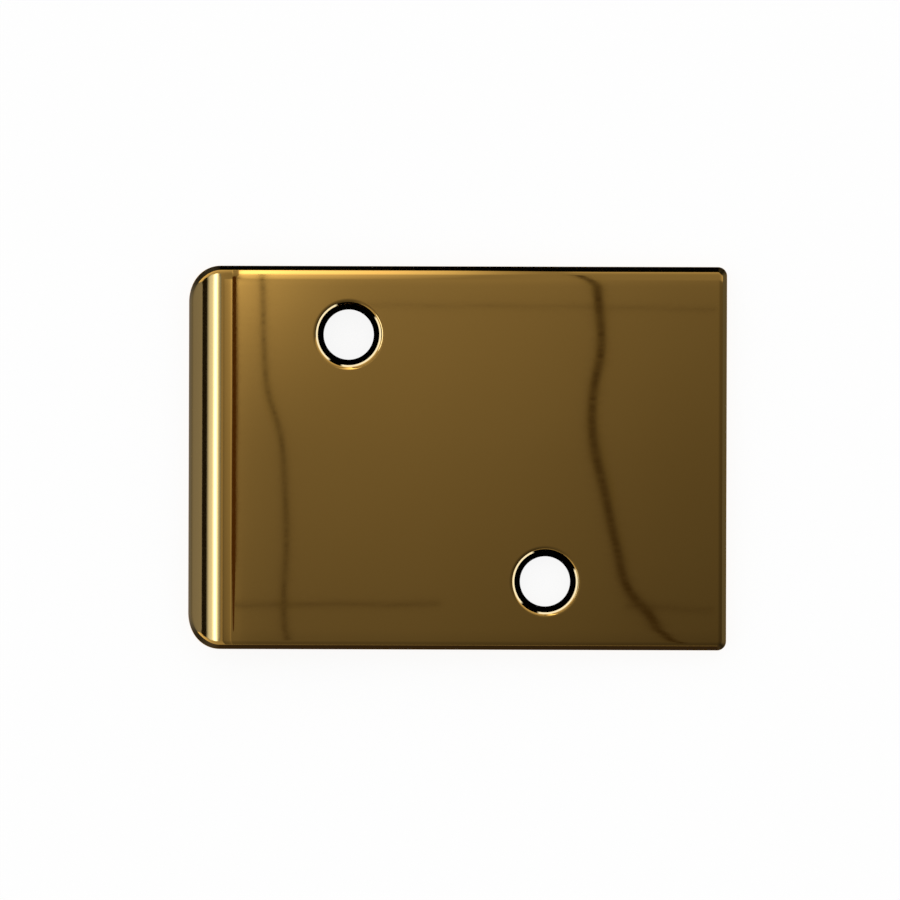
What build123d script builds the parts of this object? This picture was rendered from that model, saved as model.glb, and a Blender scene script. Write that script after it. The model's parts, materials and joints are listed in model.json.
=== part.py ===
"""Strike extender plate: a polished brass plate that carries a door strike's lip further out.

It is one piece of sheet brass. The blank has two rounded corners at its lip end, it is pierced
and countersunk for two flat-head screws set on a diagonal, and the lip is curled down along
that end. The polished side has rolled edges and buffed countersink rims.

The back of the flat lies on z = 0, the polished face looks along +Z, and the lip is at -X.
The origin is on the back, midway between the two screw holes. Sizes are in millimetres.
"""

import os
from math import isclose

from build123d import *

# Sheet and flat
sheet = 1.6
plate_width = 38.1
flat_length = 48.75

# Curled lip, with the radius on the inside of the bend
bend_radius = 7.3
lip_angle = 34
lip_corner_radius = 3.6

# Corners of the square end
square_corner_radius = 0.9

# Screw holes, countersunk from the polished face
screw_spacing_x = 19.6
screw_spacing_y = 24.5
square_end_to_screw = 18.0
screw_hole_diameter = 5.0
countersink_diameter = 6.5
countersink_angle = 82
rim_round = 0.7

# Edges: rolled over and buffed on the polished side, broken on the back
roll_depth = 0.36
roll_round = 1.2
back_edge_break = 0.15

# Places that follow from those sizes
square_end_x = screw_spacing_x / 2 + square_end_to_screw
bend_x = square_end_x - flat_length
curl_radius = bend_radius + sheet
upper_screw = (-screw_spacing_x / 2, screw_spacing_y / 2, sheet)
lower_screw = (screw_spacing_x / 2, -screw_spacing_y / 2, sheet)

with BuildPart() as plate:

    def side_outline(flat_height, radius):
        """Edges round one side of the sheet, its flat and its curl together, less the bend line."""
        flat = plate.faces().filter_by(Axis.Z).filter_by_position(Axis.Z, flat_height, flat_height)
        curl = plate.faces().filter_by(GeomType.CYLINDER).filter_by(
            lambda face: isclose(face.radius, radius)
        )
        outline = flat.edges() + curl.edges()
        return outline.filter_by(lambda edge: not isclose(edge.center().X, bend_x))

    # Side section of the bent sheet: the flat runs to the bend line, then curls down as the lip.
    with BuildSketch(Plane.XZ):
        with BuildLine():
            face_line = Line((square_end_x, sheet), (bend_x, sheet))
            face_curl = JernArc(face_line @ 1, face_line % 1, curl_radius, lip_angle)
            back_line = Line((square_end_x, 0), (bend_x, 0))
            back_curl = JernArc(back_line @ 1, back_line % 1, bend_radius, lip_angle)
            Line(face_curl @ 1, back_curl @ 1)
            Line(face_line @ 0, back_line @ 0)
        make_face()
    extrude(amount=plate_width / 2, both=True)

    # Corners of the blank: wide ones on the lip, small ones at the square end.
    lip_end = plate.faces().filter_by(GeomType.PLANE).sort_by(Axis.X)[0]
    fillet(lip_end.edges().filter_by(Axis.Y, reverse=True), radius=lip_corner_radius)
    square_corners = plate.edges().filter_by(Axis.Z).group_by(Axis.X)[-1]
    fillet(square_corners, radius=square_corner_radius)

    # The polished side rolls over into a short bevel all round, and the back edge is broken.
    chamfer(side_outline(sheet, curl_radius), length=roll_depth)
    fillet(side_outline(sheet, curl_radius), radius=roll_round)
    chamfer(side_outline(0, bend_radius), length=back_edge_break)

    # Two flat-head screw holes on a diagonal, their rims buffed soft.
    with Locations(upper_screw, lower_screw):
        CounterSinkHole(
            radius=screw_hole_diameter / 2,
            counter_sink_radius=countersink_diameter / 2,
            counter_sink_angle=countersink_angle,
        )
    rims = plate.edges().filter_by(GeomType.CIRCLE).filter_by(
        lambda edge: isclose(edge.radius, countersink_diameter / 2)
    )
    fillet(rims, radius=rim_round)

plate.part.label = "strike_extender_plate"

os.makedirs("parts", exist_ok=True)
export_step(plate.part, "parts/strike_extender_plate.step")
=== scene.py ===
import json
import math

import bmesh
import bpy
from mathutils import Matrix, Vector
from mathutils.geometry import delaunay_2d_cdt


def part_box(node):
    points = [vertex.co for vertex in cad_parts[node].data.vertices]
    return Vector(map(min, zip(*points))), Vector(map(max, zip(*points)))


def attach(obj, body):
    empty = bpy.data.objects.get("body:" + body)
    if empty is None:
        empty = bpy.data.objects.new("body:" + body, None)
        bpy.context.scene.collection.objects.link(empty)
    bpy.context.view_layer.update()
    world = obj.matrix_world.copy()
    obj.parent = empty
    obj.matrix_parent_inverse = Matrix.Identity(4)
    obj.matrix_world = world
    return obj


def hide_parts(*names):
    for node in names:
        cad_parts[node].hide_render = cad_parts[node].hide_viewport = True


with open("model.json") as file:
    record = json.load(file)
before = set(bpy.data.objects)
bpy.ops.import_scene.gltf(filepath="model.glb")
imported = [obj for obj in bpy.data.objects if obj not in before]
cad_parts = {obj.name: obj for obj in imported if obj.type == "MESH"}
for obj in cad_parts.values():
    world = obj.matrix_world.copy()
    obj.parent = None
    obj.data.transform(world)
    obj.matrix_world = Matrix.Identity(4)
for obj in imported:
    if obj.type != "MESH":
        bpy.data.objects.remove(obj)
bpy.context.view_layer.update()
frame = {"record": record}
scene = bpy.context.scene
scene.view_settings.view_transform = "Standard"

# Strike extender plate
# One piece of brass sheet, cut with rounded corners at its lip end, pierced and countersunk for
# two screws on a diagonal, curled down along the lip and buffed to a mirror on its face.
mm = 0.001
_, plate_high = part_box("strike_extender_plate")
sheet = plate_high.z
half_width = plate_high.y
square_end = plate_high.x
flat_length = 48.75 * mm
bend_line = square_end - flat_length
curl_radius = 8.9 * mm
lip_angle = math.radians(34)
lip_end = bend_line - curl_radius * lip_angle
lip_corner = 3.6 * mm
square_corner = 0.9 * mm
roll_slope = math.radians(45)
roll_depth = 0.36 * mm
roll_round = 1.2 * mm
back_break = 0.15 * mm
countersink_angle = 82
cone_slope = math.radians(90 - countersink_angle / 2)
countersink_radius = 3.25 * mm
rim_round = 0.7 * mm
level_margin = 0.03 * mm
crease_angle = math.radians(35)
screw_holes = [mount for mount in frame["record"]["mounts"] if mount["kind"] == "bore"]
BUFFED, BARE = 0, 1


def buffed_round(reach, radius, end_slope, steps=14):
    """Distance and depth below the face, over a buffed round from the level to its end slope."""
    profile = [(reach + level_margin, 0.0)]
    for step in range(steps + 1):
        slope = end_slope * step / steps
        profile.append((reach - radius * math.sin(slope), radius * (1 - math.cos(slope))))
    return profile


def rolled_edge():
    """Inset from the outline and depth, over the rolled edge and down to the back."""
    reach = roll_depth + roll_round * math.tan(roll_slope / 2)
    profile = buffed_round(reach, roll_round, roll_slope)
    buffed = len(profile)
    profile += [(0.0, roll_depth), (0.0, sheet - back_break)]
    profile += [(back_break, sheet), (back_break + level_margin, sheet)]
    return profile, buffed


def countersunk_hole(bore_radius):
    """Radius and depth, over the buffed rim, down the cone and the bore to the back."""
    reach = countersink_radius + rim_round * math.tan(cone_slope / 2)
    profile = buffed_round(reach, rim_round, cone_slope)
    profile.append((bore_radius, (countersink_radius - bore_radius) * math.tan(cone_slope)))
    buffed = len(profile) - 1
    profile += [(bore_radius, sheet), (bore_radius + level_margin, sheet)]
    return profile, buffed


def round_hole(hole, radius, turn):
    """A point at a radius from a screw hole's middle."""
    x, y, _ = hole["pos_m"]
    return x + radius * math.cos(turn), y + radius * math.sin(turn)


def blank_outline(run_step=0.5 * mm, lip_steps=28, square_steps=12):
    """Points round the flat blank, each with its outward direction, from the square end's far
    corner."""
    corners = (
        (square_end, half_width, square_corner, square_steps),
        (lip_end, half_width, lip_corner, lip_steps),
        (lip_end, -half_width, lip_corner, lip_steps),
        (square_end, -half_width, square_corner, square_steps),
    )
    outline = []
    for quarter, (x, y, radius, steps) in enumerate(corners):
        centre = Vector((x - math.copysign(radius, x), y - math.copysign(radius, y)))
        for step in range(steps + 1):
            turn = math.radians(90) * (quarter + step / steps)
            outward = Vector((math.cos(turn), math.sin(turn)))
            point = centre + radius * outward
            if step == 0 and outline:
                start = outline[-1][0]
                runs = round((point - start).length / run_step)
                outline += [(start.lerp(point, run / runs), outward) for run in range(1, runs)]
            outline.append((point, outward))
    start, end = outline[-1][0], outline[0][0]
    runs = round((end - start).length / run_step)
    outline += [(start.lerp(end, run / runs), outline[0][1]) for run in range(1, runs)]
    return outline


def on_the_level(x, y, inset, hole_reach):
    """True where a point of the blank is clear of its holes and of its outline by an inset."""
    for hole in screw_holes:
        if math.hypot(x - hole["pos_m"][0], y - hole["pos_m"][1]) < hole_reach:
            return False
    radius = lip_corner if x < 0 else square_corner
    end = lip_end if x < 0 else square_end
    from_end = abs(end - x) if lip_end < x < square_end else 0.0
    from_side = half_width - abs(y)
    if from_end < radius and from_side < radius:
        clear = radius - math.hypot(radius - from_end, radius - from_side)
    else:
        clear = min(from_end, from_side)
    return clear > inset


def fill_level(blank, border, rims, height, inset, hole_reach, finish):
    """Fills one side of the blank between its border and its holes with small even triangles,
    closer together over the lip and along the long edges."""
    spacing = 0.75 * mm
    lip_spacing = 0.3 * mm
    columns = [lip_end + lip_spacing * i for i in range(round((bend_line - lip_end) / lip_spacing))]
    columns += [bend_line + spacing * i for i in range(round((square_end - bend_line) / spacing))]
    side_zone = 2.6 * mm
    side_start = half_width - side_zone
    side_spacing = 0.2 * mm
    side_rows = 8
    even_rows = round(side_start / spacing)
    rows = [spacing * i for i in range(-even_rows, even_rows + 1)]
    for i in range(side_rows):
        rows += [side_start + side_spacing * i, -side_start - side_spacing * i]
    loops = [border, *rims]
    inner = []
    for x in columns:
        for y in rows:
            if on_the_level(x, y, inset + spacing / 3, hole_reach + spacing / 2):
                inner.append(blank.verts.new((x, y, height)))
    corners = [vert for loop in loops for vert in loop] + inner
    fences, first = [], 0
    for loop in loops:
        fences += [(first + i, first + (i + 1) % len(loop)) for i in range(len(loop))]
        first += len(loop)
    flat = [vert.co.xy / mm for vert in corners]
    within_border = 1
    weld = 1e-6
    _, _, triangles, sources, _, _ = delaunay_2d_cdt(flat, fences, [], within_border, weld)
    just_inside = 0.999
    for triangle in triangles:
        places = [corners[sources[i][0]] for i in triangle]
        middle = sum((vert.co for vert in places), Vector()) / 3
        if on_the_level(middle.x, middle.y, 0.0, hole_reach * just_inside):
            blank.faces.new(places).material_index = finish


def join_rings(blank, rings, buffed):
    """Closes each pair of neighbouring rings with a band of quads: buffed ones first, then bare
    ones."""
    for band, (upper, lower) in enumerate(zip(rings, rings[1:])):
        for i in range(len(upper)):
            j = (i + 1) % len(upper)
            face = blank.faces.new((upper[i], upper[j], lower[j], lower[i]))
            face.material_index = BUFFED if band < buffed else BARE


blank = bmesh.new()
edge, edge_buffed = rolled_edge()
outline = blank_outline()
edge_rings = []
for inset, depth in edge:
    places = [point - inset * outward for point, outward in outline]
    edge_rings.append([blank.verts.new((*place, sheet - depth)) for place in places])
join_rings(blank, edge_rings, edge_buffed)
face_rims, back_rims = [], []
hole_sides = 96
for hole in screw_holes:
    hole_profile, hole_buffed = countersunk_hole(hole["dims"]["r_mm"] * mm)
    hole_rings = []
    for radius, depth in hole_profile:
        turns = [math.tau * side / hole_sides for side in range(hole_sides)]
        places = [round_hole(hole, radius, turn) for turn in turns]
        hole_rings.append([blank.verts.new((*place, sheet - depth)) for place in places])
    join_rings(blank, hole_rings, hole_buffed)
    face_rims.append(hole_rings[0])
    back_rims.append(hole_rings[-1])
fill_level(blank, edge_rings[0], face_rims, sheet, edge[0][0], hole_profile[0][0], BUFFED)
fill_level(blank, edge_rings[-1], back_rims, 0.0, edge[-1][0], hole_profile[-1][0], BARE)
bmesh.ops.recalc_face_normals(blank, faces=blank.faces)
plate_mesh = bpy.data.meshes.new("strike_extender_plate")
blank.to_mesh(plate_mesh)
blank.free()
plate = bpy.data.objects.new("polished_plate", plate_mesh)
scene.collection.objects.link(plate)


def worked_out(tree, operation, *values):
    """A math node's result, from numbers and other nodes' results."""
    node = tree.nodes.new("ShaderNodeMath")
    node.operation = operation
    for socket, value in zip(node.inputs, values):
        if isinstance(value, bpy.types.NodeSocket):
            tree.links.new(value, socket)
        else:
            socket.default_value = value
    return node.outputs["Value"]


def brass(name, base_pale, base_deep, gloss, grain_scale, grain_depth):
    """Brass whose tone drifts a little, with grain along the plate and gloss that follows it."""
    material = bpy.data.materials.new(name)
    material.use_nodes = True
    tree = material.node_tree
    shader = tree.nodes["Principled BSDF"]
    shader.inputs["Metallic"].default_value = 1.0
    place = tree.nodes.new("ShaderNodeTexCoord").outputs["Object"]

    clouds = tree.nodes.new("ShaderNodeTexNoise")
    clouds.inputs["Scale"].default_value = 70.0
    clouds.inputs["Detail"].default_value = 3.0
    tree.links.new(place, clouds.inputs["Vector"])
    tone = tree.nodes.new("ShaderNodeMix")
    tone.data_type = "RGBA"
    tone.inputs["A"].default_value = (*base_pale, 1.0)
    tone.inputs["B"].default_value = (*base_deep, 1.0)
    tree.links.new(clouds.outputs["Fac"], tone.inputs["Factor"])
    tree.links.new(tone.outputs["Result"], shader.inputs["Base Color"])

    along = tree.nodes.new("ShaderNodeMapping")
    along.inputs["Scale"].default_value = grain_scale
    tree.links.new(place, along.inputs["Vector"])
    grain = tree.nodes.new("ShaderNodeTexNoise")
    grain.inputs["Scale"].default_value = 1.0
    grain.inputs["Detail"].default_value = 4.0
    tree.links.new(along.outputs["Vector"], grain.inputs["Vector"])
    haze = tree.nodes.new("ShaderNodeMapRange")
    haze.inputs["To Min"].default_value = gloss[0]
    haze.inputs["To Max"].default_value = gloss[1]
    tree.links.new(grain.outputs["Fac"], haze.inputs["Value"])
    tree.links.new(haze.outputs["Result"], shader.inputs["Roughness"])
    lines = tree.nodes.new("ShaderNodeBump")
    lines.inputs["Distance"].default_value = grain_depth
    tree.links.new(grain.outputs["Fac"], lines.inputs["Height"])
    tree.links.new(lines.outputs["Normal"], shader.inputs["Normal"])
    return material


mirror_brass = brass(
    "mirror_brass",
    base_pale=(0.80, 0.455, 0.105),
    base_deep=(0.77, 0.43, 0.095),
    gloss=(0.03, 0.07),
    grain_scale=(300, 3000, 3000),
    grain_depth=0.00005 * mm,
)
bare_brass = brass(
    "bare_brass",
    base_pale=(0.78, 0.50, 0.17),
    base_deep=(0.66, 0.40, 0.12),
    gloss=(0.24, 0.40),
    grain_scale=(120, 5000, 5000),
    grain_depth=0.004 * mm,
)


def curl_the_lip():
    """The rule that turns the flat blank into the plate: the lip wraps round the bend, and buffing
    leaves the face very slightly wavy and a little worn down along its long edges."""
    tree = bpy.data.node_groups.new("curl_the_lip", "GeometryNodeTree")
    tree.is_modifier = True
    for label in ("Blank", "Plate"):
        in_out = "INPUT" if label == "Blank" else "OUTPUT"
        tree.interface.new_socket(label, in_out=in_out, socket_type="NodeSocketGeometry")
    for label in (
        "Bend Line", "Curl Radius", "Face Height", "Half Width", "Worn Width", "Worn Depth",
        "Wave Depth", "Wave Scale", "Seed",
    ):
        tree.interface.new_socket(label, in_out="INPUT", socket_type="NodeSocketFloat")
    for label in ("Buffed Finish", "Bare Finish"):
        tree.interface.new_socket(label, in_out="INPUT", socket_type="NodeSocketMaterial")
    given = tree.nodes.new("NodeGroupInput").outputs
    place = tree.nodes.new("ShaderNodeSeparateXYZ")
    position = tree.nodes.new("GeometryNodeInputPosition").outputs["Position"]
    tree.links.new(position, place.inputs[0])

    waves = tree.nodes.new("ShaderNodeTexNoise")
    waves.noise_dimensions = "4D"
    waves.inputs["Detail"].default_value = 1.0
    over_face = tree.nodes.new("ShaderNodeCombineXYZ")
    tree.links.new(place.outputs["X"], over_face.inputs["X"])
    tree.links.new(place.outputs["Y"], over_face.inputs["Y"])
    tree.links.new(over_face.outputs["Vector"], waves.inputs["Vector"])
    tree.links.new(given["Wave Scale"], waves.inputs["Scale"])
    tree.links.new(given["Seed"], waves.inputs["W"])
    rise = worked_out(tree, "SUBTRACT", waves.outputs[0], 0.5)
    rise = worked_out(tree, "MULTIPLY", rise, given["Wave Depth"])

    from_side = worked_out(tree, "ABSOLUTE", place.outputs["Y"])
    from_side = worked_out(tree, "SUBTRACT", given["Half Width"], from_side)
    worn = worked_out(tree, "DIVIDE", from_side, given["Worn Width"])
    worn = worked_out(tree, "SUBTRACT", 1.0, worn)
    worn = worked_out(tree, "POWER", worked_out(tree, "MAXIMUM", worn, 0.0), 2.0)
    worn = worked_out(tree, "MULTIPLY", worn, given["Worn Depth"])
    near_face = worked_out(tree, "DIVIDE", place.outputs["Z"], given["Face Height"])
    rise = worked_out(tree, "SUBTRACT", rise, worked_out(tree, "MULTIPLY", worn, near_face))

    past_bend = worked_out(tree, "SUBTRACT", given["Bend Line"], place.outputs["X"])
    past_bend = worked_out(tree, "MAXIMUM", past_bend, 0.0)
    turn = worked_out(tree, "DIVIDE", past_bend, given["Curl Radius"])
    level_x = worked_out(tree, "MAXIMUM", place.outputs["X"], given["Bend Line"])
    height = worked_out(tree, "ADD", place.outputs["Z"], rise)
    below_face = worked_out(tree, "SUBTRACT", height, given["Face Height"])
    radius = worked_out(tree, "ADD", given["Curl Radius"], below_face)
    reach = worked_out(tree, "MULTIPLY", radius, worked_out(tree, "SINE", turn))
    drop = worked_out(tree, "MULTIPLY", radius, worked_out(tree, "COSINE", turn))
    axis_height = worked_out(tree, "SUBTRACT", given["Face Height"], given["Curl Radius"])
    bent = tree.nodes.new("ShaderNodeCombineXYZ")
    tree.links.new(worked_out(tree, "SUBTRACT", level_x, reach), bent.inputs["X"])
    tree.links.new(place.outputs["Y"], bent.inputs["Y"])
    tree.links.new(worked_out(tree, "ADD", axis_height, drop), bent.inputs["Z"])

    bend = tree.nodes.new("GeometryNodeSetPosition")
    tree.links.new(bent.outputs["Vector"], bend.inputs["Position"])
    smooth = tree.nodes.new("GeometryNodeSetShadeSmooth")
    realize = tree.nodes.new("GeometryNodeRealizeInstances")
    steps = [bend, smooth, realize]
    finish = tree.nodes.new("GeometryNodeInputMaterialIndex").outputs[0]
    for index, label in ((BUFFED, "Buffed Finish"), (BARE, "Bare Finish")):
        paint = tree.nodes.new("GeometryNodeSetMaterial")
        chosen = worked_out(tree, "COMPARE", finish, index, 0.1)
        tree.links.new(chosen, paint.inputs["Selection"])
        tree.links.new(given[label], paint.inputs["Material"])
        steps.append(paint)
    result = given["Blank"]
    for node in steps:
        tree.links.new(result, node.inputs["Geometry"])
        result = node.outputs["Geometry"]
    tree.links.new(result, tree.nodes.new("NodeGroupOutput").inputs["Plate"])
    return tree


press_tree = curl_the_lip()
press_settings = {
    "Bend Line": bend_line,
    "Curl Radius": curl_radius,
    "Face Height": sheet,
    "Half Width": half_width,
    "Worn Width": 1.9 * mm,
    "Worn Depth": 0.10 * mm,
    "Wave Depth": 0.015 * mm,
    "Wave Scale": 90.0,
    "Seed": 4.0,
    "Buffed Finish": mirror_brass,
    "Bare Finish": bare_brass,
}


def press(piece):
    """Curls a flat piece and leaves it as a plain mesh."""
    curl = piece.modifiers.new("curl", "NODES")
    curl.node_group = press_tree
    for socket in press_tree.interface.items_tree:
        if socket.in_out == "INPUT" and socket.name in press_settings:
            curl[socket.identifier] = press_settings[socket.name]
    pressed = piece.evaluated_get(bpy.context.evaluated_depsgraph_get())
    curled = bpy.data.meshes.new_from_object(pressed)
    piece.modifiers.clear()
    piece.data = curled
    return curled


plate_mesh.materials.append(mirror_brass)
plate_mesh.materials.append(bare_brass)
finished = press(plate)
finished.set_sharp_from_angle(angle=crease_angle)
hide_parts("strike_extender_plate")
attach(plate, "root")

# Floor
# A pale board. It is set at the slight lean at which the plate comes to rest on it, on the lip's
# edge and the square end's edge, so that the plate keeps its own frame.
lip_foot = min((vert.co for vert in finished.vertices), key=lambda place: place.z)
square_foot = Vector((square_end - back_break, 0.0, 0.0))
lean = (square_foot.z - lip_foot.z) / (square_foot.x - lip_foot.x)
floor_x = floor_y = (-1.5, 1.5)
floor_gap = 0.02 * mm
board_tone = (0.2, 0.2, 0.2)
board_brightness = 0.88


def laid_sheet(name, x_range, y_range, lift):
    """A flat sheet at the lean of the resting plate, lifted from where the lip's edge rests."""
    (left, right), (near, far) = x_range, y_range
    places = []
    for x, y in ((left, near), (right, near), (right, far), (left, far)):
        places.append((x, y, lip_foot.z + lift + lean * (x - lip_foot.x)))
    mesh = bpy.data.meshes.new(name)
    mesh.from_pydata(places, [], [(0, 1, 2, 3)])
    return bpy.data.objects.new(name, mesh)


floor = laid_sheet("floor", floor_x, floor_y, -floor_gap)
scene.collection.objects.link(floor)
board = bpy.data.materials.new("pale_board")
board.use_nodes = True
board_tree = board.node_tree
board_tree.nodes.clear()
board_paint = board_tree.nodes.new("ShaderNodeBsdfDiffuse")
board_paint.inputs["Color"].default_value = (*board_tone, 1.0)
board_glow = board_tree.nodes.new("ShaderNodeEmission")
board_rays = board_tree.nodes.new("ShaderNodeLightPath")
board_seen = 0.0
for ray in ("Is Camera Ray", "Is Glossy Ray", "Is Transmission Ray"):
    board_seen = worked_out(board_tree, "MAXIMUM", board_rays.outputs[ray], board_seen)
board_level = worked_out(board_tree, "MULTIPLY", board_seen, board_brightness)
board_tree.links.new(board_level, board_glow.inputs["Strength"])
board_sum = board_tree.nodes.new("ShaderNodeAddShader")
board_tree.links.new(board_paint.outputs["BSDF"], board_sum.inputs[0])
board_tree.links.new(board_glow.outputs["Emission"], board_sum.inputs[1])
board_out = board_tree.nodes.new("ShaderNodeOutputMaterial")
board_tree.links.new(board_sum.outputs["Shader"], board_out.inputs["Surface"])
floor.data.materials.append(board)

# Camera
# It looks straight down on the polished face from far enough away that the plate shows almost no
# perspective, with the photograph's framing.
photo_size = 900
photo_px_per_metre = 10070.0
photo_square_end = 726.8
photo_middle = 458.0
photo_turn = math.radians(0.17)
camera_height = 0.6
frame_width = photo_size / photo_px_per_metre
camera_data = bpy.data.cameras.new("camera")
camera_data.sensor_width = 36.0
camera_data.lens = camera_data.sensor_width * camera_height / frame_width
camera_data.clip_start = 0.01
camera_data.clip_end = 10.0
camera = bpy.data.objects.new("camera", camera_data)
scene.collection.objects.link(camera)
aim = Vector((
    square_end - (photo_square_end - photo_size / 2) / photo_px_per_metre,
    (photo_middle - photo_size / 2) / photo_px_per_metre,
    sheet,
))
camera.location = aim + Vector((0.0, 0.0, camera_height))
camera.rotation_euler.z = photo_turn
scene.camera = camera

# Studio light
# A soft grey room, darker overhead, with a long softbox on the lip's side and cards round the
# plate. The cards are there for the mirror finish, and only the metal shows them.
room = bpy.data.worlds.new("room")
scene.world = room
room.use_nodes = True
room_tree = room.node_tree
room_split = room_tree.nodes.new("ShaderNodeSeparateXYZ")
room_place = room_tree.nodes.new("ShaderNodeTexCoord").outputs["Generated"]
room_tree.links.new(room_place, room_split.inputs[0])


def ramp(tree, value, levels):
    """Grey levels at places along a value that runs from 0 to 1."""
    node = tree.nodes.new("ShaderNodeValToRGB")
    stops = node.color_ramp.elements
    stops[0].position = levels[0][0]
    stops[1].position = levels[-1][0]
    for place, _ in levels[1:-1]:
        stops.new(place)
    for stop, (_, level) in zip(stops, levels):
        stop.color = (level, level, level, 1.0)
    tree.links.new(value, node.inputs["Fac"])
    return node.outputs["Color"]


room_levels = [(0.0, 1.0), (0.45, 1.0), (0.7, 0.6), (0.93, 0.30), (1.0, 0.26)]
room_glow = ramp(room_tree, room_split.outputs["Z"], room_levels)
room_tree.links.new(room_glow, room_tree.nodes["Background"].inputs["Color"])
front_levels = [(0.0, 0.45), (0.1, 0.5), (0.35, 1.0), (1.0, 1.0)]
room_front = worked_out(room_tree, "MULTIPLY_ADD", room_split.outputs["Y"], 0.5, 0.5)
room_shade = ramp(room_tree, room_front, front_levels)
room_tree.links.new(room_shade, room_tree.nodes["Background"].inputs["Strength"])


def cloth(name, colour):
    """Matt cloth or card of one even tone, as the metal shows it."""
    material = bpy.data.materials.new(name)
    material.use_nodes = True
    tree = material.node_tree
    tree.nodes.clear()
    shader = tree.nodes.new("ShaderNodeEmission")
    shader.inputs["Color"].default_value = (*colour, 1.0)
    out = tree.nodes.new("ShaderNodeOutputMaterial")
    tree.links.new(shader.outputs["Emission"], out.inputs["Surface"])
    return material


def only_mirrored(piece, material):
    """Keeps a piece of the stage out of sight of everything but the metal."""
    piece.visible_camera = False
    piece.visible_diffuse = False
    piece.visible_shadow = False
    piece.visible_transmission = False
    piece.data.materials.clear()
    piece.data.materials.append(material)
    scene.collection.objects.link(piece)


def card(
    name, middle, azimuth, elevation, far, wide, tall, strength,
    across=None, up=None, least=0.0, tint=(1, 1, 1), foot=None, glow=None,
):
    """A card that faces a middle point. Its brightness is graded across it and up it to a least
    level, and a glow round one place on it may be added."""
    azimuth, elevation = math.radians(azimuth), math.radians(elevation)
    level = Vector((math.cos(azimuth), math.sin(azimuth), 0.0))
    back = level * math.cos(elevation) + Vector((0.0, 0.0, math.sin(elevation)))
    sideways = Vector((-math.sin(azimuth), math.cos(azimuth), 0.0))
    foot = foot or wide
    corners = [(-foot / 2, -tall / 2, 0), (foot / 2, -tall / 2, 0)]
    corners += [(wide / 2, tall / 2, 0), (-wide / 2, tall / 2, 0)]
    mesh = bpy.data.meshes.new(name)
    mesh.from_pydata(corners, [], [(0, 1, 2, 3)])
    placed = bpy.data.objects.new(name, mesh)
    placed.matrix_world = Matrix((sideways, back.cross(sideways), back)).transposed().to_4x4()
    placed.location = Vector(middle) + far * back

    material = cloth(name, tint)
    tree = material.node_tree
    shader = tree.nodes["Emission"]
    shader.inputs["Strength"].default_value = strength
    place = tree.nodes.new("ShaderNodeSeparateXYZ")
    tree.links.new(tree.nodes.new("ShaderNodeTexCoord").outputs["Object"], place.inputs[0])
    result = strength
    for levels, axis, size in ((across, "X", wide), (up, "Y", tall)):
        if levels:
            value = worked_out(tree, "DIVIDE", place.outputs[axis], size)
            value = worked_out(tree, "ADD", value, 0.5)
            result = worked_out(tree, "MULTIPLY", ramp(tree, value, levels), result)
    if glow:
        glow_x, glow_y, glow_radius, glow_level = glow
        away_x = worked_out(tree, "SUBTRACT", place.outputs["X"], glow_x)
        away_y = worked_out(tree, "SUBTRACT", place.outputs["Y"], glow_y)
        away = worked_out(tree, "MULTIPLY", away_y, away_y)
        away = worked_out(tree, "SQRT", worked_out(tree, "MULTIPLY_ADD", away_x, away_x, away))
        fade = worked_out(tree, "DIVIDE", away, glow_radius)
        fade = worked_out(tree, "MAXIMUM", worked_out(tree, "SUBTRACT", 1.0, fade), 0.0)
        fade = worked_out(tree, "POWER", fade, 3.0)
        result = worked_out(tree, "MULTIPLY_ADD", fade, glow_level, result)
    if across or up:
        tree.links.new(worked_out(tree, "MAXIMUM", result, least), shader.inputs["Strength"])
    only_mirrored(placed, material)


bend_top = (bend_line, 0.0, sheet)
daylight = (0.75, 1.0, 1.9)
softbox_levels = [
    (0.0, 0.02), (0.13, 0.63), (0.2, 1.0), (0.4, 1.3), (0.49, 2.0), (0.56, 4.2), (0.67, 4.2),
    (0.75, 1.9), (0.87, 0.7), (1.0, 0.2),
]
card(
    "lip_softbox", bend_top, azimuth=180, elevation=58.5, far=0.5, wide=0.30, tall=0.17,
    strength=1.0, up=softbox_levels, tint=daylight,
)
card(
    "lip_gap", bend_top, azimuth=180, elevation=45.95, far=0.49, wide=0.18, tall=0.0574,
    strength=0.012,
)
lip_fill_levels = [(0.0, 0.45), (0.4, 0.75), (1.0, 1.0)]
card(
    "lip_fill", bend_top, azimuth=180, elevation=22.5, far=0.5, wide=0.10, tall=0.37,
    strength=0.30, up=lip_fill_levels, tint=(0.9, 1.1, 1.9), foot=0.40,
)
edge_middle = (-0.018, half_width, sheet)
edge_across = [
    (0.0, 0.08), (0.14, 0.17), (0.34, 0.45), (0.55, 0.72), (0.66, 1.0), (0.71, 0.12),
    (0.95, 0.12), (1.0, 0.4),
]
edge_up = [(0.0, 1.0), (0.6, 1.0), (0.8, 0.7), (0.9, 0.3), (0.97, 0.12), (1.0, 0.1)]
card(
    "edge_light", edge_middle, azimuth=90, elevation=66.5, far=0.25, wide=0.07, tall=0.205,
    strength=2.6, across=edge_across, up=edge_up, least=0.27,
)

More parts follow.
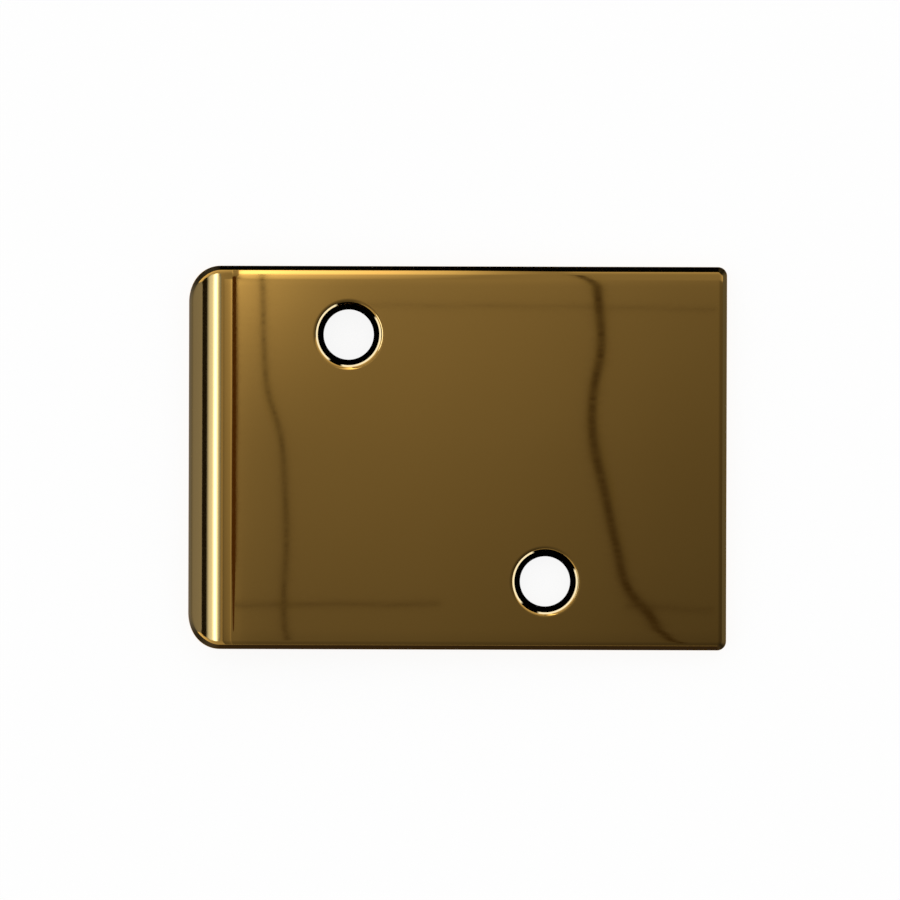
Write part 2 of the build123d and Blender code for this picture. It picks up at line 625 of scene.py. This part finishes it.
# Overhead card
# It hangs over the plate and is dim, brightest off the far lip corner. A broad tape on it shows
# as the dark line along the bend, and thin tapes and loose cords as lines in the mirror face.
overhead_height = 0.1
overhead_x = (-0.056, 0.130)
overhead_y = (-0.125, 0.027)
overhead_wide = overhead_x[1] - overhead_x[0]
overhead_tall = overhead_y[1] - overhead_y[0]
overhead_middle = (sum(overhead_x) / 2, sum(overhead_y) / 2, sheet)
border_levels = [
    (-56.0, 1.0), (-52.0, 1.5), (-40.0, 1.9), (-37.5, 2.0), (-36.3, 3.0), (-34.0, 1.6),
    (-24.5, 1.6), (-23.0, 1.36),
]
face_levels = [
    (-20.0, 1.26), (-3.0, 1.18), (9.0, 1.06), (26.0, 0.84), (60.0, 0.55), (130.0, 0.5),
]
far_levels = [
    (-125.0, 0.45), (-60.0, 0.5), (-21.0, 0.74), (0.0, 1.03), (16.0, 1.33), (21.0, 1.52),
    (27.0, 1.7),
]
glow_spot = (-0.026, 0.022)
glow_radius = 0.026
glow_level = 0.40


def along_card(levels, start, length):
    """Levels at millimetres on the plate's axes, set out from 0 to 1 along the overhead card."""
    return [((place * mm - start) / length, level) for place, level in levels]


card(
    "overhead", overhead_middle, azimuth=270, elevation=90, far=overhead_height,
    wide=overhead_wide, tall=overhead_tall, strength=0.155,
    across=along_card(border_levels + face_levels, overhead_x[0], overhead_wide),
    up=along_card(far_levels, overhead_y[0], overhead_tall),
    glow=(
        glow_spot[0] - overhead_middle[0], glow_spot[1] - overhead_middle[1],
        glow_radius, glow_level,
    ),
)


def overhead_place(photo_x, photo_y):
    """Where the flat face mirrors the overhead card at a point of the photograph."""
    x = photo_x - photo_size / 2
    y = photo_size / 2 - photo_y
    return aim.xy + Vector((x, y)) / photo_px_per_metre * (1 + overhead_height / camera_height)


cord_cloth = cloth("brown_cord", (0.035, 0.024, 0.008))
tape_cloth = cloth("red_brown_tape", (0.07, 0.034, 0.008))
cord_drop = 1.0 * mm
cord_height = sheet + overhead_height - cord_drop
lip_line = [
    (262, 120), (262, 268), (263, 340), (267, 385), (280, 430), (285, 485), (287, 540),
    (284, 600), (286, 652), (288, 740),
]
end_line = [
    (566, 120), (580, 189), (588, 220), (595, 270), (599, 310), (600, 350), (593, 390),
    (594, 440), (605, 495), (617, 550), (627, 587), (655, 622), (663, 652), (668, 705),
    (675, 740), (684, 1000),
]
# Half thickness in millimetres, share of it left at the last place, cloth, places on the photograph
cords = {
    "lip_cord": (0.24, 1.0, cord_cloth, lip_line),
    "end_cord": (0.50, 1.0, cord_cloth, end_line),
    "far_tape": (0.07, 1.0, cord_cloth, [(330, 306), (715, 308)]),
    "near_tape": (0.13, 1.0, cord_cloth, [(222, 605), (440, 604)]),
    "end_tape": (0.10, 1.0, cord_cloth, [(625, 606), (715, 608)]),
    "bend_tape": (4.4, 0.15, tape_cloth, [(192, 200), (192, 300), (192, 560), (192, 645)]),
}
for name, (half_thick, taper, material, places) in cords.items():
    cord = bpy.data.curves.new(name, "CURVE")
    cord.dimensions = "3D"
    cord.bevel_depth = half_thick * mm
    spline = cord.splines.new("BEZIER")
    spline.bezier_points.add(len(places) - 1)
    for point, photo_place in zip(spline.bezier_points, places):
        point.co = (*overhead_place(*photo_place), cord_height)
        point.handle_left_type = point.handle_right_type = "AUTO"
    spline.bezier_points[-1].radius = taper
    only_mirrored(bpy.data.objects.new(name, cord), material)

# Painted shade, dark reflections and glints
# A black sheet lies under the plate as painted shade, for the shade beneath it that the glowing
# floor lacks. A low dark band stands just off its rolled edges and paints dark reflections along
# them, and
# thin rings stand in the screw holes: one over each rim glows in arcs as painted glints, and a
# black one in each bore is painted shade. Only the metal shows these pieces, so that the edges and
# countersinks close with the lines that they have in the photograph.
under_margin = 1.0 * mm
under_lift = 0.05 * mm
under_x = (lip_foot.x + under_margin, square_end - under_margin)
under_y = (-half_width + under_margin, half_width - under_margin)
# Painted shade: this black sheet, which only the metal shows, stands in for the shade under the
# plate
painted_shade_black = cloth("painted_shade_black", (0.0, 0.0, 0.0))
only_mirrored(laid_sheet("painted_shade_sheet", under_x, under_y, under_lift), painted_shade_black)

# Painted reflection, glint and shade: a glow in the tone that each point of the band and rings
# carries
painted_glint_and_shade = cloth("painted_glint_and_shade", (0.0, 0.0, 0.0))
band_tree = painted_glint_and_shade.node_tree
band_shade = band_tree.nodes.new("ShaderNodeAttribute")
band_shade.attribute_name = "tone"
band_tree.links.new(band_shade.outputs["Color"], band_tree.nodes["Emission"].inputs["Color"])


def toned_strip(name, rings):
    """A closed strip between rings of points, each point with its own tone."""
    shape = bmesh.new()
    tone_layer = shape.verts.layers.float_color.new("tone")
    strip_rings = []
    for ring in rings:
        strip_rings.append([])
        for place, tone in ring:
            vert = shape.verts.new(place)
            vert[tone_layer] = (*tone, 1.0)
            strip_rings[-1].append(vert)
    join_rings(shape, strip_rings, buffed=1)
    mesh = bpy.data.meshes.new(name)
    shape.to_mesh(mesh)
    shape.free()
    return bpy.data.objects.new(name, mesh)


# Painted reflection: the band, seen only in the metal, paints the dark lines along the rolled
# edges, in a tone set side by side and faded at the corners
band_gap = 0.05 * mm
band_heights = (0.43 * mm, -0.35 * mm)
corner_rise = 0.4 * mm
corner_shade = 0.8
far_rise = 0.3 * mm
far_rise_run = 15 * mm
lip_tone = Vector((0.17, 0.22, 0.45))
end_tone = Vector((0.12, 0.14, 0.20))
near_tone = Vector((0.035, 0.03, 0.035))
band_rings = []
for height in band_heights:
    ring = []
    for point, outward in outline:
        # 1 at the middle of a corner and 0 along the sides
        corner = 4 * (outward.x * outward.y) ** 2
        top = sheet + height
        if height > 0:
            risen = min(max(point.x / far_rise_run, 0.0), 1.0)
            top += corner_rise * corner + far_rise * max(outward.y, 0.0) * risen
        tone = lip_tone * max(-outward.x, 0.0) + end_tone * max(outward.x, 0.0)
        tone += near_tone * max(-outward.y, 0.0)
        place = (*(point + band_gap * outward), top)
        ring.append((place, tone * (1 - corner_shade * corner)))
    band_rings.append(ring)
band = toned_strip("edge_band", band_rings)
scene.collection.objects.link(band)
press(band)
scene.collection.objects.unlink(band)
only_mirrored(band, painted_glint_and_shade)

# Painted highlight: a thin ring over each rim glows in the lit arcs and is black between them, and
# the metal shows it as glints on the rims
glint = Vector((1.3, 1.9, 5.0))
unlit = Vector((0.0, 0.0, 0.0))
# Lit arcs round each screw hole, in degrees
glint_arcs = (((115, 235), (258, 395)), ((115, 225), (260, 385)))
painted_ring_step = 5
# Radius, heights of its two edges, tone where it is lit
painted_hole_rings = {
    "rim_glint_ring": (3.0 * mm, (1.68 * mm, 1.384 * mm), glint),
    # Painted shade: a black tube down each bore stands in for the shade in the hole
    "bore_shade_tube": (1.2 * mm, (1.3 * mm, -0.6 * mm), unlit),
}
for hole, arcs in zip(screw_holes, glint_arcs):
    for name, (radius, heights, light) in painted_hole_rings.items():
        painted_ring_edges = []
        for height in heights:
            ring = []
            for degrees in range(0, 360, painted_ring_step):
                place = (*round_hole(hole, radius, math.radians(degrees)), height)
                lit = any((degrees - start) % 360 < end - start for start, end in arcs)
                ring.append((place, light if lit else unlit))
            painted_ring_edges.append(ring)
        only_mirrored(toned_strip(name, painted_ring_edges), painted_glint_and_shade)
